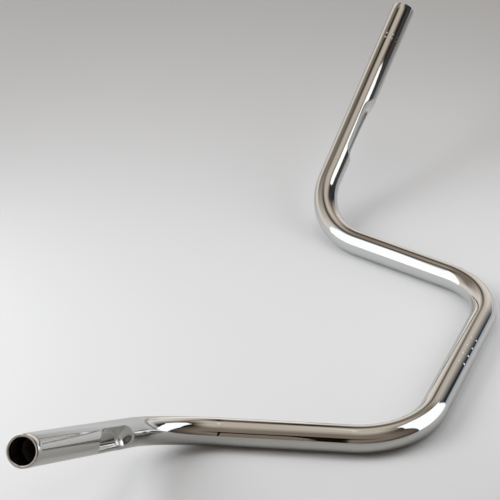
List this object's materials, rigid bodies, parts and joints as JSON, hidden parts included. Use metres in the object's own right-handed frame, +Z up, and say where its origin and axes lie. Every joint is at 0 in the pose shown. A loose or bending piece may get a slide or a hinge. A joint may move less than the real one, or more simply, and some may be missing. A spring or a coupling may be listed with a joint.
{
  "type": "motorcycle handlebar",
  "caption": "Chrome-plated handlebar bent from one round steel tube, with a centre clamp section, two risers, raised grip ends and a long pressed recess under each grip.",
  "frame": {"origin": "on the tube's axis, in the middle of the centre clamp section", "axes": "+X along the centre section towards the grip that is on the rider's right once fitted, +Y from the clamp section towards the open side between the risers (up once fitted), +Z up from the ground that the part lies on (towards the rider once fitted)"},
  "size_m": [0.8122, 0.214, 0.1575],
  "materials": {
    "chrome": "polished chrome plating on steel tube"
  },
  "bodies": {
    "root": {"handlebar": "chrome"}
  },
  "joints": []
}
